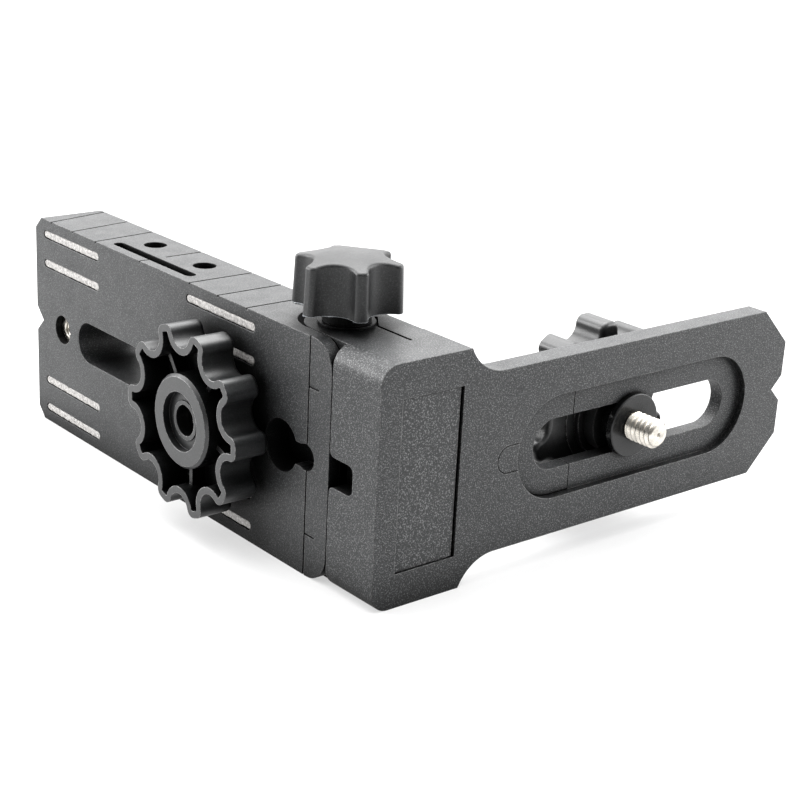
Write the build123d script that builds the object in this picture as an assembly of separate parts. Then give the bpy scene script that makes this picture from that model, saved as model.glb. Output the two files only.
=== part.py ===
from build123d import *
import os
from math import atan2, cos, degrees, hypot, radians, sin

# Folding L-shaped two-arm mounting bracket.  Millimetres, +Z up.
# The origin is where the hinge axis meets the plane that the arms stand on.
# The left arm runs along +Y with its outer face towards -X.
# The right arm runs along +X with its outer face towards -Y.

# ---- overall ----
HEIGHT = 50.0  # both arms at the hinge
MID_Z = HEIGHT / 2
SEAM_GAP = 0.3  # between the two arms at the outer seam
NOTCH = 3.0  # depth and half height of the V notch in each arm's end

# ---- left arm ----
ARM_X0 = -11.5  # outer face
ARM_X1 = 4.5  # inner face
ARM_END = 105.4
ARM_ROOT = 11.6  # where the box section starts, next to the hinge
ARM_MID = (ARM_ROOT + ARM_END) / 2  # the pattern on the arm is symmetric about this
SEAM_Y = -10.9
CHEEK_X = -8.7  # inner face of the thin cheek that covers the hinge
CHEEK_CORNER = 6.0
END_CHAMFER = 2.7
WALL = 2.6
COVER_T = 2.0
COVER_GAP = 0.1
ARM_SLOT_R = 4.8
ARM_SLOT_NEAR = 25.3  # centre of the slot's round end next to the hinge
ARM_SLOT_FAR = 80.9
SLOT_WALL = 2.0
SLOT_CHAMFER = 0.5
RIB_T = 1.6

STRIP_Z = (14.5, 21.5)  # above and below the middle
STRIP_MID = 58.1
STRIP_Y = 30.75  # from their middle
STRIP_LENGTH = 25.2
STRIP_R = 1.0
STRIP_RECESS = 0.5
STRIP_T = 0.38

GROOVES_Y = (19.7, 30.4, 40.75)  # cross grooves on the top, from the middle
GROOVE_W = 0.5
GROOVE_D = 0.4
GROOVE_TURN = 0.27  # degrees that a groove is turned for each mm beyond the middle
TOP_SLOT_X = -7.95
TOP_SLOT_LENGTH = 29.0
TOP_SLOT_R = 1.3
TOP_HOLE_X = -1.4
TOP_HOLE_R = 2.6
TOP_HOLE_PITCH = 20.0
TOP_HOLE_DEPTH = 8.0
TOP_BOSS_R = 4.2

INSERT_Y = 93.1
INSERT_R = 3.45
INSERT_LENGTH = 8.0
INSERT_SINK = 1.7
INSERT_TAP_R = 1.65  # tapping size of an M4 thread
BOSS_R = 6.2

KEY_BIG_Y = 4.9
KEY_BIG_R = 5.5
KEY_SMALL_Y = -3.3
KEY_SMALL_R = 2.8
KEY_DEPTH = 6.0
KEY_NECK = 2.4  # half width of the neck between the two circles
SCORE_Y = -3.7  # fine vertical line on the outer face
SCORE_W = 0.4
SCORE_D = 0.35
TICKS_Z = (9.0, 39.8)
TICK_NEAR = 0.1
TICK_FAR = 3.2

COVER_SCREW_R = 1.25
COVER_SCREW_HEAD_R = 2.4
COVER_SCREW_HEAD_T = 1.0
COVER_SCREW_SINK = 0.2
COVER_SCREW_LENGTH = 7.0
CROSS_HALF = 1.2  # recess in each screw's head
CROSS_W = 0.5
CROSS_D = 0.7
COVER_SCREW_Y = (20.5, ARM_MID, 96.5)
COVER_SCREW_Z = (6.2, HEIGHT - 6.2)
SCREW_POST_R = 3.2

# ---- hinge ----
LUG_R = 8.4
LUG_BACK_R = 10.25
LUG_BACK_ANGLE = 20.0  # the wider back of each lug
LUG_GAP = 0.4
LUG_SPLIT_LOW = 15.9  # top of the lower lug
LUG_SPLIT_HIGH = HEIGHT - LUG_SPLIT_LOW
WASHER_T = 0.8
SWEEP_R = 9.65  # hollow in the left arm that the lugs turn in
SWEEP_X = 0.9
SWEEP_Y = 1.25
SWEEP_BACK = 10.6
BOLT_R = 3.0
FIT = 0.05
BUSH_R = 4.4
BOLT_TIP = 5.2
NUT_R = 4.6
NUT_BOTTOM = 4.4
LUG_WASHER_R = 7.6

# ---- right arm ----
BLOCK_X1 = 10.5
LUG_X1 = 10.25
FACE_Y = -25.6  # outer face
BLOCK_FILLET = 4.0
PLATE_T = 5.0
PLATE_Y1 = FACE_Y + PLATE_T
PLATE_END = 105.9
PLATE_LOW = 5.8
PLATE_HIGH = HEIGHT - PLATE_LOW
PLATE_CHAMFER = 8.3
NECK_X = 19.5  # the step from the block down to the arm ends here
SLOT_NEAR = 35.7
SLOT_FAR = 82.3
SLOT_R = 5.5
LEDGE_R = 11.2
LEDGE_D = 1.7
INSERT_SEAM_X = 41.1
TAB_X = 22.0
TAB_R = 3.0
SEAM_LINE = 0.22
PANEL_X0 = -6.1
PANEL_X1 = 9.0
PANEL_Z0 = 7.2
PANEL_SINK = 0.4
PANEL_T = 1.6
PANEL_RIM = 1.5
PANEL_GAP = 0.1
PANEL_GAP_X1 = 0.55  # wider on the side away from the hinge
POCKET_BACK = -13.6
SIDE_NOTCH_Z0 = 21.7
SIDE_NOTCH_Z1 = 27.9
SIDE_NOTCH_Y = -18.3
SIDE_NOTCH_D = 4.4
SIDE_NOTCH_R = 1.5
SIDE_NOTCH_LIP_R = 1.3
SLIT_X = 3.6
SLIT_Y = (-15.6, -5.0)
SLIT_HOOK = (7.2, -0.2)
SLIT_W = 0.7
SLIT_D = 1.2

# ---- clamp knob on the hinge ----
CLAMP_LOBES = 6
CLAMP_R = 11.2
CLAMP_SCOOP_R = 4.9
CLAMP_SCOOP_AT = 12.5
CLAMP_SPIN = 6.7
CLAMP_Z0 = 53.2
CLAMP_Z1 = 64.0
CLAMP_DRAFT = 0.96  # the top outline over the bottom one
CLAMP_TIP_R = 1.0
CLAMP_DOME_R = 48.0
CLAMP_HUB_R = 4.9
CLAMP_WASHER_R = 5.8
CLAMP_WASHER_T = 0.5
BOLT_HEAD_AF = 10.0
BOLT_HEAD_Z = 56.0
BOLT_HEAD_T = 4.0

# ---- camera screws and their knobs ----
KNOB_LOBES = 10
KNOB_R = 20.2
KNOB_SCOOP_R = 3.4
KNOB_SCOOP_AT = 19.3
KNOB_FILLET = 1.9
KNOB_H = 9.5
KNOB_BOSS_R = 9.0  # on the closed side
KNOB_BOSS_H = 1.5
KNOB_RING_R = 11.3
KNOB_RING_H = 0.3
KNOB_WALL = 1.5
KNOB_FLOOR = 3.3
KNOB_HUB_R = 10.0
KNOB_HUB_CHAMFER = 0.6
KNOB_CBORE_R = 6.3
KNOB_CBORE_D = 1.6
KNOB_COLLAR_R = 4.2
KNOB_COLLAR_H = 0.3
KNOB_BORE_R = 3.3
KNOB_RIBS = 5
KNOB_RIB_T = 1.1
KNOB_RIB_TOP = 6.6
KNOB_RIB_SPIN = 18.0
KNOB_NUT_AF = 8.6
KNOB_NUT_H = 5.0
STUD_R = 3.175
SHANK_R = 3.0
STUD_PROUD = 6.9
STUD_TIP = 0.7
STUD_TAIL = 4.6
FLANGE_R = 7.0
FLANGE_T = 1.5
SLIDER_SLACK = 0.25
BOSS_SHORT = 0.1  # the boss stops this far below the face that the knob bears on
KNOB_WASHER_R = 7.5
LEFT_WASHER_T = 0.6
RIGHT_WASHER_T = 3.0
LEFT_KNOB_Y = 26.4
RIGHT_KNOB_X = 58.3
RIGHT_KNOB_SPIN = 18.5

BASE = (Align.CENTER, Align.CENTER, Align.MIN)


# ---- helpers ----
def box(x0, x1, y0, y1, z0, z1):
    return Pos((x0 + x1) / 2, (y0 + y1) / 2, (z0 + z1) / 2) * Box(x1 - x0, y1 - y0, z1 - z0)


def along_x(profile, x0, x1):
    """A (Y, Z) profile, extruded from x0 to x1."""
    return extrude(Plane.YZ.offset(x0) * profile, amount=x1 - x0)


def along_y(profile, y0, y1):
    """An (X, Z) profile, extruded from y0 to y1."""
    plane = Plane(origin=(0, y1, 0), x_dir=(1, 0, 0), z_dir=(0, -1, 0))
    return extrude(plane * profile, amount=y1 - y0)


def along_z(profile, z0, z1):
    """An (X, Y) profile, extruded from z0 to z1."""
    return extrude(Pos(0, 0, z0) * profile, amount=z1 - z0)


def disc(r, u=0.0, v=0.0):
    return Pos(u, v) * Circle(r)


def rect(u0, u1, v0, v1):
    return Pos((u0 + u1) / 2, (v0 + v1) / 2) * Rectangle(u1 - u0, v1 - v0)


def obround(u0, u1, v, r):
    """A slot outline whose round ends are centred at u0 and u1."""
    return Pos((u0 + u1) / 2, v) * SlotCenterToCenter(u1 - u0, 2 * r)


def mirrored(values, middle):
    return [middle + side * v for v in values for side in (-1, 1)]


def save(node, shape):
    export_step(shape, f"parts/{node}.step")


def save_group(node, shapes):
    save(node, Compound(children=shapes))


def star(radius, lobes, scoop_r, scoop_at, spin):
    """A round knob's outline with a scoop between each pair of lobes."""
    outline = Circle(radius)
    for k in range(lobes):
        a = radians(spin + (k + 0.5) * 360 / lobes)
        outline -= disc(scoop_r, scoop_at * cos(a), scoop_at * sin(a))
    return outline


# ---- left arm ----
def arm_outline():
    """The arm seen from its outer face, (Y, Z)."""
    c = END_CHAMFER
    y0 = SEAM_Y + SEAM_GAP / 2
    end = [
        (ARM_END - c, 0),
        (ARM_END, c),
        (ARM_END, MID_Z - NOTCH),
        (ARM_END - NOTCH, MID_Z),
        (ARM_END, MID_Z + NOTCH),
        (ARM_END, HEIGHT - c),
        (ARM_END - c, HEIGHT),
    ]
    outline = make_face(Polyline((y0, 0), *end, (y0, HEIGHT), close=True))
    corners = outline.vertices().sort_by(Axis.X)[:2]
    return fillet(corners, CHEEK_CORNER)


def sweep_plan():
    """The hollow beside the hinge that the other arm's lugs turn in, (X, Y)."""
    plan = disc(SWEEP_R, SWEEP_X, SWEEP_Y) + disc(LUG_R + LUG_GAP)
    plan += rect(CHEEK_X, ARM_X1 + 5, SEAM_Y - 5, 0)
    plan += rect(0, ARM_X1 + 5, 0, SWEEP_BACK)
    return plan & rect(CHEEK_X, ARM_X1 + 5, SEAM_Y - 5, SWEEP_BACK + 5)


def arm_slot(grow=0.0):
    return obround(ARM_SLOT_NEAR, ARM_SLOT_FAR, MID_Z, ARM_SLOT_R + grow)


def cover_outline(gap):
    y0 = ARM_ROOT + WALL / 2 + gap
    y1 = ARM_END - WALL - NOTCH - gap
    return rect(y0, y1, WALL / 2 + gap, HEIGHT - WALL / 2 - gap)


def shell():
    body = along_x(arm_outline(), ARM_X0, ARM_X1)
    # hinge end: a thin cheek outside, and a round lug in the middle layer
    low = LUG_SPLIT_LOW + WASHER_T
    high = HEIGHT - low
    body -= along_z(sweep_plan(), high, HEIGHT + 1)
    body -= along_z(sweep_plan(), -1, low)
    middle = rect(CHEEK_X, ARM_X1 + 5, SEAM_Y - 5, 0) - disc(LUG_R)
    body -= along_z(middle, low - 0.01, high + 0.01)
    body += along_z(disc(LUG_R) & rect(ARM_X1 - 2, LUG_R, -LUG_R, LUG_R), low, high)
    body += along_z(rect(ARM_X1 - 1, ARM_X1, 0, ARM_ROOT), low, high)
    # hollow, open at the back
    y0 = ARM_ROOT + WALL
    y1 = ARM_END - WALL - NOTCH
    back = ARM_X1 - COVER_T
    hollow = box(ARM_X0 + WALL, ARM_X1 + 1, y0, y1, WALL, HEIGHT - WALL)
    inside = along_x(arm_slot(SLOT_WALL), ARM_X0, back)
    inside += along_x(disc(BOSS_R, INSERT_Y, MID_Z), ARM_X0, ARM_X0 + INSERT_LENGTH + 2)
    for y in COVER_SCREW_Y:
        for z in COVER_SCREW_Z:
            inside += along_x(disc(SCREW_POST_R, y, z), ARM_X0, back)
    for y in mirrored([TOP_HOLE_PITCH / 2], ARM_MID):
        post = disc(TOP_BOSS_R, TOP_HOLE_X, y)
        inside += along_z(post, HEIGHT - TOP_HOLE_DEPTH - 1.5, HEIGHT)
    for y in mirrored(GROOVES_Y[:2], ARM_MID):
        inside += box(ARM_X0, back, y - RIB_T / 2, y + RIB_T / 2, 0, HEIGHT)
    body -= hollow - (inside & hollow)
    body -= along_x(cover_outline(0), back, ARM_X1 + 1)
    # openings in the outer face
    body -= along_x(arm_slot(), ARM_X0 - 1, ARM_X1 + 1)
    rim = along_x(arm_slot(SLOT_CHAMFER), ARM_X0 - 1, ARM_X0 + 0.01)
    body -= rim
    body -= along_x(disc(INSERT_R, INSERT_Y, MID_Z), ARM_X0 - 1, ARM_X0 + INSERT_SINK + INSERT_LENGTH)
    key = disc(KEY_BIG_R, KEY_BIG_Y, MID_Z) + disc(KEY_SMALL_R, KEY_SMALL_Y, MID_Z)
    key += rect(KEY_SMALL_Y, KEY_BIG_Y, MID_Z - KEY_NECK, MID_Z + KEY_NECK)
    body -= along_x(key, ARM_X0 - 1, ARM_X0 + KEY_DEPTH)
    for y in mirrored([STRIP_Y], STRIP_MID):
        for z in mirrored(STRIP_Z, MID_Z):
            body -= along_x(strip_outline(y, z, 0), ARM_X0 - 1, ARM_X0 + STRIP_RECESS)
    half = SCORE_W / 2
    score = rect(SCORE_Y - half, SCORE_Y + half, -1, HEIGHT + 1)
    for z in TICKS_Z:
        score += rect(SCORE_Y - TICK_FAR, SCORE_Y - TICK_NEAR, z - half, z + half)
    body -= along_x(score, ARM_X0 - 1, ARM_X0 + SCORE_D)
    # top face: cross grooves, a fine slot and two holes
    for y in mirrored(GROOVES_Y, ARM_MID):
        body -= top_groove(ARM_X0 - 1, ARM_X1 + 1, y)
    body -= top_groove(ARM_X0 - 1, TOP_SLOT_X, ARM_MID)
    body -= top_groove(TOP_SLOT_X + 3, ARM_X1 + 1, ARM_MID)
    slot = Pos(TOP_SLOT_X, ARM_MID) * Rot(0, 0, 90) * SlotCenterToCenter(TOP_SLOT_LENGTH, 2 * TOP_SLOT_R)
    body -= along_z(slot, HEIGHT - WALL - 1, HEIGHT + 1)
    for y in mirrored([TOP_HOLE_PITCH / 2], ARM_MID):
        body -= along_z(disc(TOP_HOLE_R, TOP_HOLE_X, y), HEIGHT - TOP_HOLE_DEPTH, HEIGHT + 1)
    # screw holes for the back cover, and the hinge bush's hole
    for y in COVER_SCREW_Y:
        for z in COVER_SCREW_Z:
            body -= along_x(disc(COVER_SCREW_R, y, z), back - COVER_SCREW_LENGTH, ARM_X1)
    body -= along_z(disc(BUSH_R), low - 1, high + 1)
    return body


def top_groove(x0, x1, y):
    """A fine groove across the top; those towards the arm's end are turned a little."""
    middle = Pos((ARM_X0 + ARM_X1) / 2, y) * Rot(0, 0, GROOVE_TURN * max(0.0, y - ARM_MID))
    half = (ARM_X1 - ARM_X0) / 2
    groove = rect(x0 - half - ARM_X0, x1 + half - ARM_X1, -GROOVE_W / 2, GROOVE_W / 2)
    return along_z(middle * groove, HEIGHT - GROOVE_D, HEIGHT + 1)


def strip_outline(y, z, gap):
    half = STRIP_LENGTH / 2 - STRIP_R
    return obround(y - half, y + half, z, STRIP_R - gap)


def back_cover():
    plate = along_x(cover_outline(COVER_GAP), ARM_X1 - COVER_T, ARM_X1)
    plate -= along_x(arm_slot(), ARM_X0, ARM_X1 + 1)
    seat = ARM_X1 - COVER_SCREW_SINK - COVER_SCREW_HEAD_T
    for y in COVER_SCREW_Y:
        for z in COVER_SCREW_Z:
            plate -= along_x(disc(COVER_SCREW_R, y, z), ARM_X0, ARM_X1 + 1)
            plate -= along_x(disc(COVER_SCREW_HEAD_R, y, z), seat, ARM_X1 + 1)
    return plate


def cover_screws():
    screws = []
    tip = ARM_X1 - COVER_T - COVER_SCREW_LENGTH + 0.5
    top = ARM_X1 - COVER_SCREW_SINK
    half = CROSS_W / 2
    for y in COVER_SCREW_Y:
        for z in COVER_SCREW_Z:
            screw = along_x(disc(COVER_SCREW_R, y, z), tip, top)
            screw += along_x(disc(COVER_SCREW_HEAD_R - COVER_GAP, y, z), top - COVER_SCREW_HEAD_T, top)
            cross = rect(y - CROSS_HALF, y + CROSS_HALF, z - half, z + half)
            cross += rect(y - half, y + half, z - CROSS_HALF, z + CROSS_HALF)
            screw -= along_x(cross, top - CROSS_D, ARM_X1)
            screws.append(screw)
    return screws


def strips():
    low = ARM_X0 + STRIP_RECESS - STRIP_T
    return [
        along_x(strip_outline(y, z, 0.05), low, ARM_X0 + STRIP_RECESS)
        for y in mirrored([STRIP_Y], STRIP_MID)
        for z in mirrored(STRIP_Z, MID_Z)
    ]


def end_insert():
    x0 = ARM_X0 + INSERT_SINK
    ring = disc(INSERT_R, INSERT_Y, MID_Z) - disc(INSERT_TAP_R, INSERT_Y, MID_Z)
    return along_x(ring, x0, x0 + INSERT_LENGTH)


def hinge_bush():
    low = LUG_SPLIT_LOW + WASHER_T
    return along_z(disc(BUSH_R) - disc(BOLT_R + FIT), low, HEIGHT - low)


def lug_washers():
    ring = disc(LUG_WASHER_R) - disc(BOLT_R + FIT)
    low = along_z(ring, LUG_SPLIT_LOW + FIT, LUG_SPLIT_LOW + WASHER_T)
    high = along_z(ring, LUG_SPLIT_HIGH - WASHER_T, LUG_SPLIT_HIGH - FIT)
    return [low, high]


# ---- right arm ----
def bracket_outline():
    """The arm seen from its outer face, (X, Z)."""
    c = PLATE_CHAMFER
    # the neck's arc is level where it meets the arm and ends at the block's corner
    run = NECK_X - BLOCK_X1
    neck_r = (run**2 + PLATE_LOW**2) / (2 * PLATE_LOW)
    half_turn = atan2(run, neck_r - PLATE_LOW) / 2
    mid_x = NECK_X - neck_r * sin(half_turn)
    mid_drop = neck_r * (1 - cos(half_turn))
    top_mid = (mid_x, PLATE_HIGH + mid_drop)
    low_mid = (mid_x, PLATE_LOW - mid_drop)
    line = Polyline(
        (NECK_X, PLATE_LOW),
        (PLATE_END - c, PLATE_LOW),
        (PLATE_END, PLATE_LOW + c),
        (PLATE_END, MID_Z - NOTCH),
        (PLATE_END - NOTCH, MID_Z),
        (PLATE_END, MID_Z + NOTCH),
        (PLATE_END, PLATE_HIGH - c),
        (PLATE_END - c, PLATE_HIGH),
        (NECK_X, PLATE_HIGH),
    )
    top = ThreePointArc((NECK_X, PLATE_HIGH), top_mid, (BLOCK_X1, HEIGHT))
    side = Polyline((BLOCK_X1, HEIGHT), (ARM_X0, HEIGHT), (ARM_X0, 0), (BLOCK_X1, 0))
    low = ThreePointArc((BLOCK_X1, 0), low_mid, (NECK_X, PLATE_LOW))
    return make_face(Curve() + [line, top, side, low])


def lug_plan():
    """A hinge lug seen from above, (X, Y)."""
    y0 = SEAM_Y - SEAM_GAP / 2 - 1
    plan = disc(LUG_R) + rect(-LUG_R, LUG_X1, y0, 0)
    far = 2 * LUG_BACK_R
    corner = (far * cos(radians(LUG_BACK_ANGLE)), far * sin(radians(LUG_BACK_ANGLE)))
    sector = make_face(Polyline((0, 0), (far, 0), corner, close=True))
    return plan + (disc(LUG_BACK_R) & sector)


def slit_plan():
    """A fine slit beside the clamp knob, with a hook at its end that slants in under the knob."""
    half = SLIT_W / 2
    y0, y1 = SLIT_Y
    run = SLIT_HOOK[0] - SLIT_X
    rise = SLIT_HOOK[1] - y1
    middle = Pos(SLIT_X + run / 2, y1 + rise / 2) * Rot(0, 0, degrees(atan2(rise, run)))
    hook = middle * SlotCenterToCenter(hypot(run, rise), SLIT_W)
    return rect(SLIT_X - half, SLIT_X + half, y0, y1) + hook


def insert_plan(gap):
    """The slot insert's outline with its round tab, (X, Z)."""
    outer = obround(SLOT_NEAR, SLOT_FAR, MID_Z, LEDGE_R - gap)
    outer &= rect(0, INSERT_SEAM_X - gap, 0, HEIGHT)
    tab = TAB_R - gap
    return outer + disc(tab, TAB_X, MID_Z) + rect(TAB_X, SLOT_NEAR, MID_Z - tab, MID_Z + tab)


def bracket():
    profile = bracket_outline()
    body = along_y(profile, FACE_Y, PLATE_Y1)
    block_y1 = SEAM_Y - SEAM_GAP / 2
    body += box(ARM_X0, BLOCK_X1, FACE_Y, block_y1, 0, HEIGHT)
    long_edges = body.edges().filter_by(Axis.Y).filter_by_position(Axis.X, ARM_X0 - 0.1, ARM_X0 + 0.1)
    body = fillet(long_edges, BLOCK_FILLET)
    for z0, z1 in ((0, LUG_SPLIT_LOW), (LUG_SPLIT_HIGH, HEIGHT)):
        body += along_z(lug_plan(), z0, z1)
    # pocket behind the panel
    panel_z1 = HEIGHT - PANEL_Z0
    body -= box(PANEL_X0, PANEL_X1, FACE_Y - 1, FACE_Y + PANEL_SINK + PANEL_T, PANEL_Z0, panel_z1)
    rim = PANEL_RIM
    body -= box(PANEL_X0 + rim, PANEL_X1 - rim, FACE_Y, POCKET_BACK, PANEL_Z0 + rim, panel_z1 - rim)
    # side notch, open at the seam
    notch = rect(SIDE_NOTCH_Y, SEAM_Y, SIDE_NOTCH_Z0, SIDE_NOTCH_Z1)
    notch = fillet(notch.vertices().sort_by(Axis.X)[:2], SIDE_NOTCH_R)
    lip = SIDE_NOTCH_LIP_R
    mouth = rect(block_y1 - lip, SEAM_Y, SIDE_NOTCH_Z0 - lip, SIDE_NOTCH_Z1 + lip)
    mouth -= disc(lip, block_y1 - lip, SIDE_NOTCH_Z0 - lip)
    mouth -= disc(lip, block_y1 - lip, SIDE_NOTCH_Z1 + lip)
    notch += mouth
    body -= along_x(notch, ARM_X0 - 1, ARM_X0 + SIDE_NOTCH_D)
    # slot, ledge and the insert's seat
    body -= along_y(obround(SLOT_NEAR, SLOT_FAR, MID_Z, SLOT_R), FACE_Y - 1, PLATE_Y1 + 1)
    body -= along_y(obround(SLOT_NEAR, SLOT_FAR, MID_Z, LEDGE_R), FACE_Y - 1, FACE_Y + LEDGE_D)
    body -= along_y(insert_plan(0), FACE_Y - 1, PLATE_Y1 + 1)
    # fine slit on top, bolt hole, and the nut's pocket in the lower lug
    body -= along_z(slit_plan(), HEIGHT - SLIT_D, HEIGHT + 1)
    body -= along_z(disc(BOLT_R + FIT), LUG_SPLIT_HIGH - 1, HEIGHT + 1)
    body -= along_z(disc(NUT_R), NUT_BOTTOM, LUG_SPLIT_LOW + 1)
    return body


def block_panel():
    z0 = PANEL_Z0 + PANEL_GAP
    y0 = FACE_Y + PANEL_SINK
    return box(PANEL_X0 + PANEL_GAP, PANEL_X1 - PANEL_GAP_X1, y0, y0 + PANEL_T, z0, HEIGHT - z0)


def slot_insert():
    body = along_y(insert_plan(SEAM_LINE), FACE_Y, PLATE_Y1)
    body -= along_y(obround(SLOT_NEAR, SLOT_FAR, MID_Z, LEDGE_R), FACE_Y - 1, FACE_Y + LEDGE_D)
    body -= along_y(obround(SLOT_NEAR, SLOT_FAR, MID_Z, SLOT_R), FACE_Y - 1, PLATE_Y1 + 1)
    return body


def hinge_nut():
    ring = disc(NUT_R) - disc(BOLT_R + FIT)
    return along_z(ring, NUT_BOTTOM, LUG_SPLIT_LOW - 0.3)


# ---- hinge clamp ----
def clamp_washer():
    ring = disc(CLAMP_WASHER_R) - disc(BOLT_R + FIT)
    return along_z(ring, HEIGHT, HEIGHT + CLAMP_WASHER_T)


def clamp_bolt():
    bolt = along_z(disc(BOLT_R), BOLT_TIP, BOLT_HEAD_Z)
    bolt = chamfer(bolt.edges().sort_by(Axis.Z)[0], 0.6)
    head = RegularPolygon(BOLT_HEAD_AF / 2, 6, major_radius=False)
    return bolt + along_z(head, BOLT_HEAD_Z, BOLT_HEAD_Z + BOLT_HEAD_T)


def clamp_knob():
    outline = star(CLAMP_R, CLAMP_LOBES, CLAMP_SCOOP_R, CLAMP_SCOOP_AT, CLAMP_SPIN)
    outline = fillet(outline.vertices(), CLAMP_TIP_R)
    body = loft([Pos(0, 0, CLAMP_Z0) * outline, Pos(0, 0, CLAMP_Z1) * scale(outline, by=CLAMP_DRAFT)])
    dome = Pos(0, 0, CLAMP_Z1 - CLAMP_DOME_R) * Sphere(CLAMP_DOME_R)
    body &= dome
    rim = body.edges().filter_by_position(Axis.Z, CLAMP_Z1 - 3, CLAMP_Z1)
    body = fillet(rim, 0.7)
    body += along_z(disc(CLAMP_HUB_R), HEIGHT + CLAMP_WASHER_T, CLAMP_Z0 + 1)
    return body - clamp_bolt()


# ---- camera screws ----
def camera_knob(spin):
    """A hollow ten-lobed knob with its boss at Z = 0 and its open side up."""
    outline = star(KNOB_R, KNOB_LOBES, KNOB_SCOOP_R, KNOB_SCOOP_AT, 0)
    outline = fillet(outline.vertices(), KNOB_FILLET)
    body = along_z(outline, KNOB_BOSS_H, KNOB_H)
    body = fillet(body.edges().filter_by_position(Axis.Z, KNOB_BOSS_H - 0.01, KNOB_BOSS_H + 0.01), 1.0)
    body += Cylinder(KNOB_BOSS_R, KNOB_FLOOR, align=BASE)
    body += along_z(disc(KNOB_RING_R), KNOB_BOSS_H - KNOB_RING_H, KNOB_FLOOR)
    hollow = star(KNOB_R - KNOB_WALL, KNOB_LOBES, KNOB_SCOOP_R + KNOB_WALL, KNOB_SCOOP_AT, 0)
    hollow = fillet(hollow.vertices(), KNOB_FILLET - KNOB_WALL)
    hub = along_z(disc(KNOB_HUB_R), KNOB_FLOOR, KNOB_H)
    keep = chamfer(hub.edges().sort_by(Axis.Z)[-1], KNOB_HUB_CHAMFER)
    for k in range(KNOB_RIBS):
        rib = box(0, KNOB_R, -KNOB_RIB_T / 2, KNOB_RIB_T / 2, KNOB_FLOOR, KNOB_RIB_TOP)
        keep += Rot(0, 0, KNOB_RIB_SPIN + k * 360 / KNOB_RIBS) * rib
    cavity = Pos(0, 0, KNOB_FLOOR) * extrude(hollow, amount=KNOB_H)
    body -= cavity - keep
    recess_z = KNOB_H - KNOB_CBORE_D
    body -= along_z(disc(KNOB_CBORE_R), recess_z, KNOB_H + 1)
    body += along_z(disc(KNOB_COLLAR_R), recess_z, recess_z + KNOB_COLLAR_H)
    body -= Cylinder(KNOB_BORE_R, KNOB_H + 1, align=BASE)
    body -= knob_nut_blank()
    return Rot(0, 0, spin) * body


def knob_nut_blank():
    outline = RegularPolygon(KNOB_NUT_AF / 2, 6, major_radius=False)
    return extrude(outline, amount=KNOB_NUT_H)


def knob_nut(spin):
    nut = knob_nut_blank() - Cylinder(SHANK_R, KNOB_H, align=BASE)
    return Rot(0, 0, spin) * nut


def camera_stud(reach):
    """The screw from inside its knob to its tip, which is reach below the knob's closed face."""
    shank = Cylinder(SHANK_R, reach - STUD_PROUD + STUD_TAIL, align=BASE)
    stud = Pos(0, 0, STUD_PROUD - reach) * shank
    thread = Pos(0, 0, -reach) * Cylinder(STUD_R, STUD_PROUD, align=BASE)
    thread = chamfer(thread.edges().sort_by(Axis.Z)[0], STUD_TIP)
    return stud + thread


def slider(boss_r, boss_length):
    """A flange with a boss that runs in the slot; the flange's inner face is at Z = 0."""
    body = Pos(0, 0, -FLANGE_T) * Cylinder(FLANGE_R, FLANGE_T, align=BASE)
    body = fillet(body.edges().sort_by(Axis.Z)[0], 0.3)
    body += Cylinder(boss_r, boss_length, align=BASE)
    return body - Pos(0, 0, -FLANGE_T - 1) * Cylinder(SHANK_R + FIT, boss_length + 10, align=BASE)


def knob_washer(thickness):
    return Cylinder(KNOB_WASHER_R, thickness, align=BASE) - Cylinder(SHANK_R + FIT, thickness, align=BASE)


def save_screw_set(side, face, depth, washer_t, spin, boss_r):
    """One knob, its screw and its slider.  The plane face lies on the arm where the knob bears, its Z
    out towards the knob; depth is from there to the seat of the flange."""
    knob_face = face.offset(washer_t)
    reach = washer_t + depth + FLANGE_T + STUD_PROUD
    save(f"{side}_knob", knob_face.location * camera_knob(spin))
    save(f"{side}_knob_nut", knob_face.location * knob_nut(spin))
    save(f"{side}_camera_screw", knob_face.location * camera_stud(reach))
    save(f"{side}_slider", face.offset(-depth).location * slider(boss_r, depth - BOSS_SHORT))
    save(f"{side}_knob_washer", face.location * knob_washer(washer_t))


os.makedirs("parts", exist_ok=True)
save("left_arm_shell", shell())
save("left_arm_back_cover", back_cover())
save_group("back_cover_screws", cover_screws())
save_group("grip_strips", strips())
save("end_thread_insert", end_insert())
save("hinge_bush", hinge_bush())
save_group("lug_washers", lug_washers())
save("right_arm_bracket", bracket())
save("block_panel", block_panel())
save("slot_end_insert", slot_insert())
save("hinge_nut", hinge_nut())
save("clamp_washer", clamp_washer())
save("clamp_bolt", clamp_bolt())
save("clamp_knob", clamp_knob())

left_face = Plane(origin=(ARM_X0, LEFT_KNOB_Y, MID_Z), x_dir=(0, 1, 0), z_dir=(-1, 0, 0))
left_boss_r = ARM_SLOT_R - SLIDER_SLACK
save_screw_set("left", left_face, ARM_X1 - ARM_X0, LEFT_WASHER_T, 0.0, left_boss_r)
right_face = Plane(origin=(RIGHT_KNOB_X, PLATE_Y1, MID_Z), x_dir=(1, 0, 0), z_dir=(0, 1, 0))
right_boss_r = SLOT_R - SLIDER_SLACK
save_screw_set("right", right_face, PLATE_T - LEDGE_D, RIGHT_WASHER_T, RIGHT_KNOB_SPIN, right_boss_r)
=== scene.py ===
from math import cos, floor, pi, radians, sin, sqrt

import bmesh
import bpy
from mathutils import Euler, Matrix, Vector, noise


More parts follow.
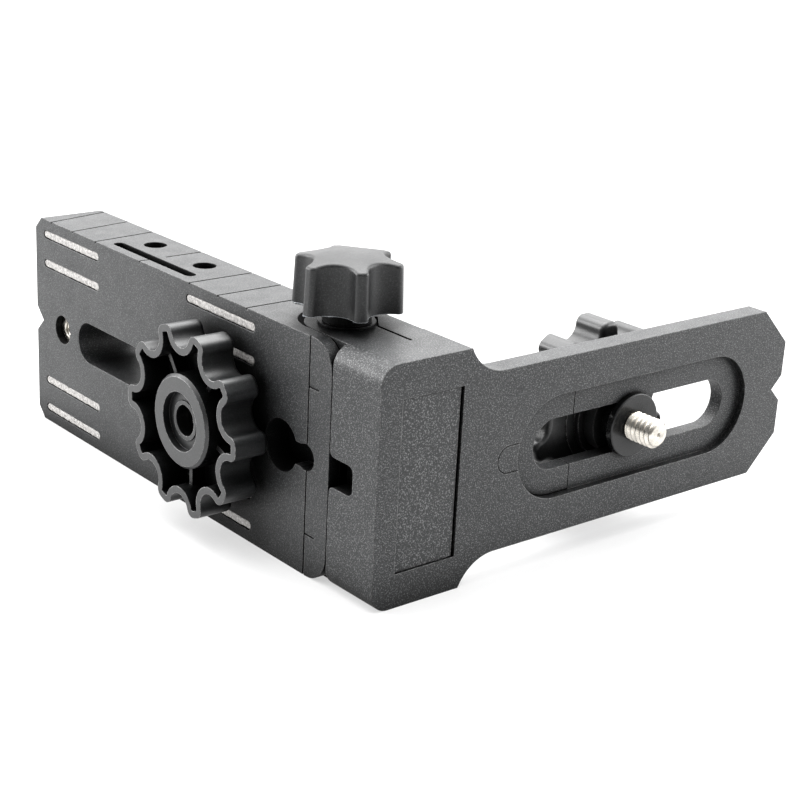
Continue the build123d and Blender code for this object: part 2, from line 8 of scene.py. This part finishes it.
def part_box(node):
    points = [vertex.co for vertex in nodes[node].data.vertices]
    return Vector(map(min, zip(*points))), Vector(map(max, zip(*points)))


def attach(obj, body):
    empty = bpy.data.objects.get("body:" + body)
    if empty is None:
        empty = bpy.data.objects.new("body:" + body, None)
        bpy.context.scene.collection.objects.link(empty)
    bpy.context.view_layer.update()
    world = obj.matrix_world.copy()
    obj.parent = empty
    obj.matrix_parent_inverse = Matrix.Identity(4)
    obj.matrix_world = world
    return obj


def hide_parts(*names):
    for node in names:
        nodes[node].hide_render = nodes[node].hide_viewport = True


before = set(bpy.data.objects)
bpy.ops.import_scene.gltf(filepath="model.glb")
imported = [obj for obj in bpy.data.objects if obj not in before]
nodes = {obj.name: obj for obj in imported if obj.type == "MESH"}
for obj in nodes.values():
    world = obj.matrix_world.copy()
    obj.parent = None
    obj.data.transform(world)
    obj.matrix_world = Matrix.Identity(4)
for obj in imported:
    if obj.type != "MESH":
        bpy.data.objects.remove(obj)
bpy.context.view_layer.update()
MM = 0.001

# ---- node helpers ----
MIX_SHARE, MIX_A, MIX_B, MIX_RESULT = 0, 6, 7, 2  # sockets of the mix node when it mixes colours
RAYS = 6  # for each bevelled normal and each ambient occlusion
FLAT_COSINE, EDGE_COSINE = 0.995, 0.86  # between the bevelled normal and the real one
SHUT_IN, OPEN_AIR = 0.38, 0.88  # ambient occlusion deep in a hollow and on an open face


class Graph:
    """A material's node tree, with a short way to add and link nodes."""

    def __init__(self, name):
        self.material = bpy.data.materials.new(name)
        self.material.use_nodes = True
        self.tree = self.material.node_tree
        self.tree.nodes.clear()
        self.shader = self.add("ShaderNodeBsdfPrincipled")
        output = self.add("ShaderNodeOutputMaterial")
        self.link(self.shader.outputs[0], output.inputs["Surface"])
        self.place = self.add("ShaderNodeTexCoord").outputs["Object"]

    def add(self, kind, **settings):
        node = self.tree.nodes.new(kind)
        for key, value in settings.items():
            setattr(node, key, value)
        return node

    def link(self, source, target):
        self.tree.links.new(source, target)

    def put(self, target, value):
        """Links a socket, or sets a constant on the target itself."""
        if isinstance(value, bpy.types.NodeSocket):
            self.link(value, target)
        else:
            target.default_value = value

    def give(self, name, value):
        """Links or sets one input of the shader."""
        self.put(self.shader.inputs[name], value)

    def math(self, operation, a, b):
        node = self.add("ShaderNodeMath", operation=operation)
        self.put(node.inputs[0], a)
        self.put(node.inputs[1], b)
        return node.outputs[0]

    def vector(self, operation, a, b):
        node = self.add("ShaderNodeVectorMath", operation=operation)
        self.put(node.inputs[0], a)
        self.put(node.inputs[1], b)
        return node

    def ramp(self, value, low, high, to_low=0.0, to_high=1.0):
        """The value, moved from the first range to the second."""
        node = self.add("ShaderNodeMapRange")
        self.put(node.inputs["Value"], value)
        node.inputs["From Min"].default_value = low
        node.inputs["From Max"].default_value = high
        node.inputs["To Min"].default_value = to_low
        node.inputs["To Max"].default_value = to_high
        return node.outputs[0]

    def mix(self, share, a, b):
        """Colour a, with that share of colour b in it."""
        node = self.add("ShaderNodeMix", data_type="RGBA")
        self.put(node.inputs[MIX_SHARE], share)
        self.put(node.inputs[MIX_A], a)
        self.put(node.inputs[MIX_B], b)
        return node.outputs[MIX_RESULT]

    def noise(self, size, detail, rough=0.5, place=None):
        """Noise whose features are about size metres across."""
        node = self.add("ShaderNodeTexNoise")
        node.inputs["Scale"].default_value = 1 / size
        node.inputs["Detail"].default_value = detail
        node.inputs["Roughness"].default_value = rough
        self.link(place or self.place, node.inputs["Vector"])
        return node.outputs["Fac"]

    def shifted(self, metres):
        """The place on the object, moved so that a second noise differs from the first."""
        return self.vector("ADD", self.place, (metres, metres, metres)).outputs[0]

    def specks(self, size, radius, share):
        """Small dots, one in some of the cells of that size; share is the part of cells that have one."""
        node = self.add("ShaderNodeTexVoronoi")
        node.inputs["Scale"].default_value = 1 / size
        self.link(self.place, node.inputs["Vector"])
        chosen = self.add("ShaderNodeSeparateColor")
        self.link(node.outputs["Color"], chosen.inputs[0])
        has_one = self.math("LESS_THAN", chosen.outputs[0], share)
        dot = self.ramp(node.outputs["Distance"], radius, radius * 0.5)
        return self.math("MULTIPLY", dot, has_one)

    def soft_edges(self, radius):
        """The normal with rounded edges, and how close to an edge a point is."""
        bevel = self.add("ShaderNodeBevel", samples=RAYS)
        bevel.inputs["Radius"].default_value = radius
        flat = self.add("ShaderNodeNewGeometry").outputs["Normal"]
        facing = self.vector("DOT_PRODUCT", bevel.outputs[0], flat).outputs["Value"]
        return bevel.outputs[0], self.ramp(facing, FLAT_COSINE, EDGE_COSINE)

    def out_of_painted_shade(self, reach):
        """1 on an open face and 0 deep in a hollow. It is the mask of painted shade, which keeps hollows
        dark.
        """
        hollow = self.add("ShaderNodeAmbientOcclusion", samples=RAYS)
        hollow.inputs["Distance"].default_value = reach
        return self.ramp(hollow.outputs["AO"], SHUT_IN, OPEN_AIR)

    def bump(self, height, depth, strength, normal=None):
        node = self.add("ShaderNodeBump")
        node.inputs["Distance"].default_value = depth
        node.inputs["Strength"].default_value = strength
        self.link(height, node.inputs["Height"])
        if normal is not None:
            self.link(normal, node.inputs["Normal"])
        return node.outputs[0]


def grey(value, warm=0.0):
    return (value * (1 + warm), value, value * (1 - warm), 1.0)


# ---- kinds of material ----
PIT_TONE, GRAIN_TONE, PATCH_TONE = 0.25, 1.5, 1.8  # of the plastic's own tone
PATCH_SHARE = 0.3
PALE_POINT = grey(0.34, -0.01)
RUBBED_EDGE = grey(0.42, 0.01)
# painted shade: the near-black colour that hollows in the plastic are given, and their weaker shine
HOLLOW_PAINTED_SHADE = grey(0.002)
PAINTED_SHADE_SHINE = 0.04
SECOND_NOISE = 3.7  # metres from the first

TARNISH, POLISH = 0.55, 1.15  # of the metal's own colour
POLISHED_SHARE = 0.6

CRUMB_DARK, CRUMB_PALE, PIT = grey(0.20, 0.04), grey(0.56, 0.03), grey(0.12, 0.05)
PIT_SHARE = 0.6

PAPER_DARK, PAPER_PALE = grey(0.30), grey(0.33)
PAPER_GLOW = 0.55


def moulding(name, tone, rough, salt, grain=0.28 * MM, depth=0.05 * MM, wear=0.35, edge=0.3 * MM,
             shine=0.43, hollow=14 * MM):
    """Moulded plastic: a fine grain of pale and dark points, faint mottling and rubbed edges, with painted
    shade that darkens its hollows and dims their shine.
    """
    g = Graph(name)
    fine = g.noise(grain, 2.5, 0.65)
    patches = g.noise(14 * MM, 3.0)
    colour = g.mix(g.ramp(fine, 0.36, 0.58), grey(tone * PIT_TONE, -0.08), grey(tone * GRAIN_TONE, -0.08))
    colour = g.mix(g.ramp(patches, 0.35, 0.7, 0.0, PATCH_SHARE), colour, grey(tone * PATCH_TONE, -0.02))
    points = g.ramp(g.noise(grain, 1.0, 0.5, g.shifted(SECOND_NOISE)), 0.55, 0.66)
    colour = g.mix(g.math("MULTIPLY", points, salt), colour, PALE_POINT)
    soft, near_edge = g.soft_edges(edge)
    rubbed = g.math("MULTIPLY", near_edge, g.ramp(g.noise(0.9 * MM, 4.0, 0.7), 0.42, 0.58))
    colour = g.mix(g.math("MULTIPLY", rubbed, wear), colour, RUBBED_EDGE)
    # painted shade: hollows are darkened to near black and lose most of their shine
    out_of_shade = g.out_of_painted_shade(hollow)
    g.give("Base Color", g.mix(out_of_shade, HOLLOW_PAINTED_SHADE, colour))
    g.give("Roughness", g.ramp(g.noise(5 * MM, 4.0), 0.3, 0.7, rough - 0.04, rough + 0.06))
    g.give("Specular IOR Level", g.ramp(out_of_shade, 0.0, 1.0, PAINTED_SHADE_SHINE, shine))
    g.give("Normal", g.bump(fine, depth, 0.8, soft))
    return g.material


def plated(name, colour, rough, grain, depth):
    """Plated or plain metal, with faint scratches and tarnish."""
    g = Graph(name)
    stain = g.noise(1.6 * MM, 4.0, 0.65)
    dark = tuple(c * TARNISH for c in colour[:3]) + (1.0,)
    base = g.mix(g.ramp(stain, 0.4, 0.75), colour, dark)
    soft, near_edge = g.soft_edges(0.12 * MM)
    pale = tuple(min(1.0, c * POLISH) for c in colour[:3]) + (1.0,)
    g.give("Base Color", g.mix(g.math("MULTIPLY", near_edge, POLISHED_SHARE), base, pale))
    g.give("Metallic", 1.0)
    g.give("Roughness", g.ramp(stain, 0.3, 0.7, rough, rough + 0.14))
    g.give("Normal", g.bump(g.noise(grain, 3.0, 0.6), depth, 0.5, soft))
    return g.material


def foil(name):
    """Rough silvery inlay, crumbly and pale with darker pits."""
    g = Graph(name)
    crumbs = g.noise(0.55 * MM, 5.0, 0.75)
    base = g.mix(g.ramp(crumbs, 0.38, 0.62), CRUMB_DARK, CRUMB_PALE)
    pits = g.specks(0.7 * MM, 0.28, 0.35)
    g.give("Base Color", g.mix(g.math("MULTIPLY", pits, PIT_SHARE), base, PIT))
    g.give("Metallic", 0.2)
    g.give("Roughness", g.ramp(crumbs, 0.3, 0.7, 0.42, 0.62))
    g.give("Normal", g.bump(crumbs, 0.12 * MM, 0.8))
    return g.material


def paper(name):
    """Matt pale paper for the floor. It gives off some light of its own, which keeps shadows faint."""
    g = Graph(name)
    tooth = g.noise(0.8 * MM, 3.0)
    g.give("Base Color", g.mix(tooth, PAPER_DARK, PAPER_PALE))
    g.give("Roughness", 0.9)
    g.give("Specular IOR Level", 0.1)
    g.give("Emission Color", grey(1.0))
    g.give("Emission Strength", PAPER_GLOW)
    return g.material


# ---- mesh helpers ----
SAME_POINT = 1e-7
AROUND = 72  # sides of a turned or threaded surface
ROWS_PER_TURN = 20  # of a thread
CREST, FLANK = 0.10, 0.78  # of half a turn of thread


def show(thing):
    bpy.context.scene.collection.objects.link(thing)


def new_piece(name, mesh, material, body, slot, *replaced):
    piece = bpy.data.objects.new(name, mesh)
    show(piece)
    mesh.materials.append(material)
    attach(piece, body)
    if replaced:
        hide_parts(*replaced)


def mesh_from(name, verts, faces):
    mesh = bpy.data.meshes.new(name)
    mesh.from_pydata([tuple(v) for v in verts], [], faces)
    mesh.validate()
    work = bmesh.new()
    work.from_mesh(mesh)
    bmesh.ops.remove_doubles(work, verts=work.verts, dist=SAME_POINT)
    bmesh.ops.dissolve_degenerate(work, edges=work.edges, dist=SAME_POINT)
    bmesh.ops.recalc_face_normals(work, faces=work.faces)
    work.to_mesh(mesh)
    work.free()
    mesh.polygons.foreach_set("use_smooth", [True] * len(mesh.polygons))
    mesh.update()
    return mesh


def on_circle(r, a, z):
    return Vector((r * cos(a), r * sin(a), z))


def turned(rows):
    """Surface of revolution about Z through (radius, z) rows."""
    verts = [on_circle(r, 2 * pi * k / AROUND, z) for r, z in rows for k in range(AROUND)]
    faces = []
    for i in range(len(rows) - 1):
        for k in range(AROUND):
            n = (k + 1) % AROUND
            faces.append((i * AROUND + k, i * AROUND + n, (i + 1) * AROUND + n, (i + 1) * AROUND + k))
    return verts, faces


def grid_faces(rows, columns):
    """Faces between all neighbours of a grid of points, laid out row by row."""
    return [(a, a + 1, a + columns + 1, a + columns)
            for i in range(rows - 1) for a in range(i * columns, (i + 1) * columns - 1)]


def thread_depth(turn):
    """0 at the crest and 1 at the root of a V thread, for a place along the axis in turns."""
    t = abs((turn - floor(turn)) * 2 - 1)
    return min(1.0, max(0.0, (t - CREST) / FLANK))


def threaded(r_major, depth, pitch, z0, z1, chamfer, inside=False):
    """Grid of a helical thread from z0 to z1; the rows follow the helix and stop at both ends."""
    first = floor(z0 / pitch) - 1
    count = int((z1 - z0) / pitch * ROWS_PER_TURN) + 3 * ROWS_PER_TURN
    verts = []
    for i in range(count):
        turn = first + i / ROWS_PER_TURN
        for k in range(AROUND + 1):
            r = r_major - depth * thread_depth(turn)
            z = min(z1, max(z0, pitch * (turn + k / AROUND)))
            if inside:
                r = max(r, r_major - depth + max(0.0, chamfer - (z1 - z)))
            else:
                r = min(r, r_major - chamfer + (z - z0))
            verts.append(on_circle(r, 2 * pi * k / AROUND, z))
    return verts, grid_faces(count, AROUND + 1)


def merge(parts):
    verts, faces = [], []
    for part_verts, part_faces in parts:
        start = len(verts)
        verts += part_verts
        faces += [tuple(start + i for i in face) for face in part_faces]
    return verts, faces


def pointing(origin, axis):
    """The matrix that takes +Z to axis, at origin."""
    turn = Vector((0, 0, 1)).rotation_difference(Vector(axis))
    return Matrix.Translation(origin) @ turn.to_matrix().to_4x4()


def moved(part, matrix):
    verts, faces = part
    return [matrix @ v for v in verts], faces


# ---- the camera screws, z from the tip toward the knob ----
CAMERA_PITCH = 1.27 * MM  # 20 threads to the inch
STUD_R = 3.16 * MM
STUD_DEPTH = 0.62 * MM  # of its thread
STUD_CHAMFER = 0.75 * MM
STUD_THREAD_Z0 = 0.12 * MM
STUD_THREAD_Z1 = 6.9 * MM
NOSE_R = STUD_R - STUD_CHAMFER
DIMPLE_R = 0.45 * MM
NOSE = [(0.0, 1.6 * MM), (DIMPLE_R, 1.2 * MM), (DIMPLE_R, 0.06 * MM), (DIMPLE_R * 1.25, 0.0),
        (NOSE_R * 0.9, 0.02 * MM), (NOSE_R, STUD_THREAD_Z0)]
CORE_R = STUD_R - 0.6 * MM
CORE_Z0 = 0.3 * MM
SHANK_R = 2.98 * MM
SHANK_Z0 = STUD_THREAD_Z1 - 0.1 * MM
TAIL_CHAMFER = 0.3 * MM


def camera_screw(side, axis, body, material):
    """The stud with its real thread, from its tip to its tail in the knob."""
    node = side + "_camera_screw"
    lo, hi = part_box(node)
    axis = Vector(axis)
    length = abs((hi - lo).dot(axis))
    tip = (lo + hi) / 2 - axis * length / 2
    thread = threaded(STUD_R, STUD_DEPTH, CAMERA_PITCH, STUD_THREAD_Z0, STUD_THREAD_Z1, STUD_CHAMFER)
    core = turned([
        (CORE_R, CORE_Z0), (CORE_R, SHANK_Z0), (SHANK_R, SHANK_Z0),
        (SHANK_R, length - TAIL_CHAMFER), (SHANK_R - TAIL_CHAMFER, length), (0.0, length)])
    verts, faces = moved(merge([thread, turned(NOSE), core]), pointing(tip, axis))
    new_piece(node + "_threaded", mesh_from(node + "_threaded", verts, faces), material, body, "nickel", node)


# ---- the threaded insert, z from its inner end toward its mouth ----
INSERT_PITCH = 0.7 * MM  # M4
INSERT_R = 2.03 * MM
INSERT_DEPTH = 0.38 * MM
INSERT_CHAMFER = 0.3 * MM
MOUTH_R = 1.95 * MM
BORE_R = 1.68 * MM
SLEEVE_GAP = 0.03 * MM
SLEEVE_WAIST = 0.4 * MM


def insert_ring(material):
    """The threaded insert near the arm's end: a waisted sleeve with a thread inside."""
    node = "end_thread_insert"
    lo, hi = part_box(node)
    z = hi.x - lo.x
    outer = (hi.y - lo.y) / 2 - SLEEVE_GAP
    waist = outer - SLEEVE_WAIST
    thread = threaded(INSERT_R, INSERT_DEPTH, INSERT_PITCH, 0.0, z, INSERT_CHAMFER, inside=True)
    sleeve = turned([
        (MOUTH_R, z), (outer - 0.35 * MM, z), (outer - 0.12 * MM, z - 0.06 * MM), (outer, z - 0.25 * MM),
        (outer, z - 2.2 * MM), (waist, z - 2.5 * MM), (waist, z - 4.5 * MM),
        (outer, z - 4.8 * MM), (outer, 0.4 * MM), (waist, 0.0), (BORE_R, 0.0)])
    inner_end = Vector((hi.x, (lo.y + hi.y) / 2, (lo.z + hi.z) / 2))
    verts, faces = moved(merge([thread, sleeve]), pointing(inner_end, (-1, 0, 0)))
    new_piece("end_thread_insert_threaded", mesh_from("end_thread_insert_threaded", verts, faces), material,
              "left_arm", "nickel", node)


# ---- the inlay strips ----
STRIP_ALONG, STRIP_ACROSS = 90, 8  # faces of one strip
STRIP_HALF_LENGTH = 12.5 * MM
STRIP_HALF_WIDTH = 0.86 * MM
STRIP_END_Y = 12.55 * MM  # from a strip's middle to its end in the CAD
STRIP_OFFSETS_Z = (14.5 * MM, 21.5 * MM)  # from the arm's middle
STRIP_SUNK = 0.02 * MM
SIDE_SPREAD = 0.16  # how uneven the sides are, of the half width
SIDE_DROP = 0.10 * MM
DOME = 0.05 * MM
CRUMB_HEIGHT = 0.05 * MM
SIDE_WAVES, CRUMB_WAVES = 900, 1500  # per metre


def strip(y, z, x_top, x_floor, seed):
    """One crumbly inlay strip with rounded, uneven ends and sides."""
    verts = []
    for i in range(STRIP_ALONG + 1):
        u = -STRIP_HALF_LENGTH + 2 * STRIP_HALF_LENGTH * i / STRIP_ALONG
        from_end = STRIP_HALF_LENGTH - abs(u)
        width = STRIP_HALF_WIDTH
        if from_end < STRIP_HALF_WIDTH:
            width = sqrt(max(0.0, STRIP_HALF_WIDTH**2 - (STRIP_HALF_WIDTH - from_end) ** 2))
        for k in range(STRIP_ACROSS + 1):
            v = -1 + 2 * k / STRIP_ACROSS
            ragged = noise.noise(Vector((u * SIDE_WAVES, v * 2 + seed * 7, 0.5)))
            w = v * width * (1 + SIDE_SPREAD * ragged * abs(v))
            dome = (1 - v * v) * DOME
            rough = noise.noise(Vector((u * CRUMB_WAVES, w * CRUMB_WAVES, seed * 3.1))) * CRUMB_HEIGHT
            side = SIDE_DROP if k in (0, STRIP_ACROSS) else 0.0
            x = min(x_floor, x_top - dome - rough + side)
            verts.append(Vector((max(x, x_top - STRIP_SUNK), y + u, z + w)))
    row = STRIP_ACROSS + 1
    faces = grid_faces(STRIP_ALONG + 1, row)
    # a skirt down to the floor of the recess
    rim = [i * row for i in range(STRIP_ALONG + 1)] + [STRIP_ALONG * row + k for k in range(1, row)]
    rim += [i * row + STRIP_ACROSS for i in range(STRIP_ALONG - 1, -1, -1)]
    rim += list(range(STRIP_ACROSS - 1, 0, -1))
    base = len(verts)
    verts += [Vector((x_floor, verts[i].y, verts[i].z)) for i in rim]
    for n, i in enumerate(rim):
        m = (n + 1) % len(rim)
        faces.append((i, base + n, base + m, rim[m]))
    return verts, faces


def inlay_strips(material):
    lo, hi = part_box("grip_strips")
    middle = (lo + hi) / 2
    reach_y = (hi.y - lo.y) / 2 - STRIP_END_Y
    spots = [(side_y, z_off, side_z) for side_y in (-1, 1) for z_off in STRIP_OFFSETS_Z for side_z in (-1, 1)]
    parts = []
    for seed, (side_y, z_off, side_z) in enumerate(spots, 1):
        y, z = middle.y + side_y * reach_y, middle.z + side_z * z_off
        parts.append(strip(y, z, lo.x + STRIP_SUNK, hi.x, seed))
    verts, faces = merge(parts)
    new_piece("inlay_strips", mesh_from("inlay_strips", verts, faces), material, "left_arm", "silver_strip",
              "grip_strips")


# ---- the moulding flash under the clamp knob ----
KNOB_RIM_Z = 53.2 * MM
IN_PLANE = 2e-5
LEVEL_Z = 0.99  # a face whose normal's z is past this counts as level
FLASH_STEP = 0.12 * MM
FLASH_REACH = 0.7 * MM
FLASH_SEED = 3.0
BROAD_WAVES, FINE_WAVES = 260, 1900  # per metre


def edge_loops(node, z):
    """Closed loops of the CAD node's sharp edges that lie at that height."""
    work = bmesh.new()
    work.from_mesh(nodes[node].data)
    bmesh.ops.remove_doubles(work, verts=work.verts, dist=1e-6)
    work.normal_update()
    links = {}
    for edge in work.edges:
        a, b = edge.verts
        if abs(a.co.z - z) > IN_PLANE or abs(b.co.z - z) > IN_PLANE or len(edge.link_faces) != 2:
            continue
        level = [abs(f.normal.z) > LEVEL_Z for f in edge.link_faces]
        if level[0] == level[1]:
            continue
        links.setdefault(a, []).append(b)
        links.setdefault(b, []).append(a)
    loops = []
    while links:
        here, last, loop = next(iter(links)), None, []
        while here in links:
            loop.append(here.co.copy())
            ahead = [v for v in links.pop(here) if v in links and v is not last]
            last = here
            if not ahead:
                break
            here = ahead[0]
        loops.append(loop)
    work.free()
    return loops


def resampled(loop, step):
    """The closed loop's points at an even spacing."""
    points = []
    for i, a in enumerate(loop):
        b = loop[(i + 1) % len(loop)]
        pieces = max(1, round((b - a).length / step))
        points += [a.lerp(b, k / pieces) for k in range(pieces)]
    return points


def knob_flash(material):
    """Thin ragged moulding flash that hangs from the outermost sharp edge of the clamp knob."""
    centre = Vector((0, 0, KNOB_RIM_Z))
    down = Vector((0, 0, -1))
    loops = edge_loops("clamp_knob", KNOB_RIM_Z)
    loop = max(loops, key=lambda points: max((p - centre).length for p in points))
    points = resampled(loop, FLASH_STEP)
    count = len(points)
    verts, faces = [], []
    for i, p in enumerate(points):
        before, after = points[i - 1], points[(i + 1) % count]
        out = (after - before).normalized().cross(down).normalized()
        if out.dot(p - centre) < 0:
            out = -out
        broad = noise.noise(p * BROAD_WAVES + Vector((FLASH_SEED, 0, 0)))
        fine = noise.noise(p * FINE_WAVES + Vector((0, FLASH_SEED, 0)))
        height = max(0.0, broad - 0.02) * 2.2 + 0.05
        height = min(1.0, height * (0.6 + 0.9 * abs(fine))) * FLASH_REACH
        lean = 0.35 * height
        root = p - down * 0.05 * MM - out * 0.06 * MM
        verts += [root, p - down * 0.06 * MM + out * 0.03 * MM, p + down * height + out * lean]
    for i in range(count):
        n = (i + 1) % count
        for k in range(3):
            m = (k + 1) % 3
            faces.append((i * 3 + k, i * 3 + m, n * 3 + m, n * 3 + k))
    mesh = mesh_from("clamp_knob_flash", verts, faces)
    new_piece("clamp_knob_flash", mesh, material, "clamp", "black_knob")


# ---- materials ----
arm_plastic = moulding("fine_grained_arm", 0.012, 0.42, 0.22)
bracket_plastic = moulding("fine_grained_bracket", 0.013, 0.42, 0.34)
cover_plastic = moulding("fine_grained_cover", 0.012, 0.44, 0.16)
panel_plastic = moulding("fine_grained_panel", 0.013, 0.40, 0.42)
knob_plastic = moulding(
    "satin_knob", 0.009, 0.34, 0.04, grain=0.3 * MM, depth=0.015 * MM, wear=0.9, edge=0.25 * MM, shine=0.75,
    hollow=9 * MM)
clamp_plastic = moulding(
    "satin_clamp_knob", 0.008, 0.40, 0.05, grain=0.3 * MM, depth=0.03 * MM, wear=0.9, edge=0.25 * MM,
    shine=0.5, hollow=9 * MM)
flange_plastic = moulding(
    "smooth_flange", 0.006, 0.26, 0.03, grain=0.3 * MM, depth=0.008 * MM, wear=0.9, edge=0.18 * MM)
washer_plastic = moulding("washer_fibre", 0.008, 0.55, 0.04, grain=0.3 * MM, depth=0.02 * MM, wear=0.2)
# near-black steel; the knob nuts get it as painted shade, so that the bores of the knobs read black
black_steel_and_painted_shade = moulding(
    "blackened_steel_and_painted_shade", 0.012, 0.34, 0.05, grain=0.2 * MM, depth=0.012 * MM, wear=0.9, edge=0.15 * MM)
flash_plastic = moulding(
    "torn_flash", 0.22, 0.5, 0.9, grain=0.2 * MM, depth=0.02 * MM, wear=0.8, edge=0.05 * MM, hollow=0.5 * MM)
nickel = plated("nickel_plate", (0.78, 0.74, 0.67, 1.0), 0.20, 0.12 * MM, 0.008 * MM)
brass = plated("turned_brass", (0.72, 0.54, 0.26, 1.0), 0.30, 0.15 * MM, 0.01 * MM)
silver = foil("silver_inlay")

FINISH = {
    "left_arm_shell": arm_plastic, "left_arm_back_cover": cover_plastic, "back_cover_screws": black_steel_and_painted_shade,
    "hinge_bush": brass, "lug_washers": washer_plastic,
    "right_arm_bracket": bracket_plastic, "block_panel": panel_plastic, "slot_end_insert": bracket_plastic,
    "hinge_nut": brass, "clamp_washer": black_steel_and_painted_shade, "clamp_bolt": nickel, "clamp_knob": clamp_plastic,
    # the nuts of both knobs are near black as painted shade in their bores
    "left_knob": knob_plastic, "left_knob_nut": black_steel_and_painted_shade, "left_slider": flange_plastic,
    "left_knob_washer": washer_plastic,
    "right_knob": knob_plastic, "right_knob_nut": black_steel_and_painted_shade, "right_slider": flange_plastic,
    "right_knob_washer": washer_plastic,
}
for node, material in FINISH.items():
    mesh = nodes[node].data
    mesh.materials.clear()
    mesh.materials.append(material)

camera_screw("right", (0, 1, 0), "right_screw", nickel)
camera_screw("left", (-1, 0, 0), "left_screw", nickel)
insert_ring(nickel)
inlay_strips(silver)
knob_flash(flash_plastic)

# ---- stage ----
FLOOR_REACH = 6.0
FLOOR_CORNERS = [(side_x * FLOOR_REACH, side_y * FLOOR_REACH, 0)
                 for side_x, side_y in ((-1, -1), (1, -1), (1, 1), (-1, 1))]
ground = bpy.data.meshes.new("floor")
ground.from_pydata(FLOOR_CORNERS, [], [(0, 1, 2, 3)])
ground.materials.append(paper("white_paper"))
ground_piece = bpy.data.objects.new("floor", ground)
show(ground_piece)


def softbox(name, place, aim, size, watts):
    light = bpy.data.lights.new(name, "AREA")
    light.shape = "RECTANGLE"
    light.size, light.size_y = size
    light.energy = watts
    lamp = bpy.data.objects.new(name, light)
    lamp.location = place
    lamp.rotation_euler = (Vector(aim) - Vector(place)).to_track_quat("-Z", "Y").to_euler()
    show(lamp)


MIDDLE = (0.03, 0.04, 0.025)  # of the whole bracket
LEFT_END = (-0.01, 0.10, 0.03)
RIGHT_END = (0.10, -0.03, 0.025)
softbox("top_softbox", (0.15, 0.35, 0.9), MIDDLE, (1.2, 1.0), 16.0)
softbox("left_softbox", (-0.5, 0.62, 0.30), LEFT_END, (0.5, 0.4), 5.0)
softbox("right_softbox", (0.55, -0.30, 0.22), RIGHT_END, (0.4, 0.3), 2.4)

SUN_STRENGTH = 1.1
SUN_SPREAD = radians(70)
SUN_TILT = (radians(-8), radians(6), 0)
sun = bpy.data.lights.new("overhead", "SUN")
sun.energy = SUN_STRENGTH
sun.angle = SUN_SPREAD
overhead = bpy.data.objects.new("overhead", sun)
overhead.rotation_euler = SUN_TILT
show(overhead)

# the surroundings brighten from behind the camera to far behind the bracket
BRIGHT_WAY = (0.55, 0.75, 0.35)
DIM_SIDE, BRIGHT_SIDE = -0.6, 0.5  # of the dot product with that direction
DIM_SKY, BRIGHT_SKY = 0.18, 3.2
world = bpy.data.worlds.new("studio")
bpy.context.scene.world = world
world.use_nodes = True
tree = world.node_tree
tree.nodes.clear()
surroundings = tree.nodes.new("ShaderNodeTexCoord").outputs["Generated"]
toward = tree.nodes.new("ShaderNodeVectorMath")
toward.operation = "DOT_PRODUCT"
toward.inputs[1].default_value = BRIGHT_WAY
tree.links.new(surroundings, toward.inputs[0])
fade = tree.nodes.new("ShaderNodeMapRange")
fade.inputs["From Min"].default_value = DIM_SIDE
fade.inputs["From Max"].default_value = BRIGHT_SIDE
fade.inputs["To Min"].default_value = DIM_SKY
fade.inputs["To Max"].default_value = BRIGHT_SKY
tree.links.new(toward.outputs["Value"], fade.inputs["Value"])
sky = tree.nodes.new("ShaderNodeBackground")
tree.links.new(fade.outputs[0], sky.inputs["Strength"])
world_output = tree.nodes.new("ShaderNodeOutputWorld")
tree.links.new(sky.outputs[0], world_output.inputs["Surface"])

SENSOR_WIDTH_MM = 36.0
LENS_MM = 77.863
CAMERA_PLACE = (-0.20131, -0.25512, 0.14906)
CAMERA_TURN = Euler((radians(70.5315), radians(-2.8295), radians(-39.2546)), "XYZ")
NEAREST = 0.01
lens = bpy.data.cameras.new("camera")
lens.sensor_width = SENSOR_WIDTH_MM
lens.lens = LENS_MM
lens.clip_start = NEAREST
camera = bpy.data.objects.new("camera", lens)
camera.location = CAMERA_PLACE
camera.rotation_euler = CAMERA_TURN
show(camera)
bpy.context.scene.camera = camera
bpy.context.scene.view_settings.view_transform = "Standard"
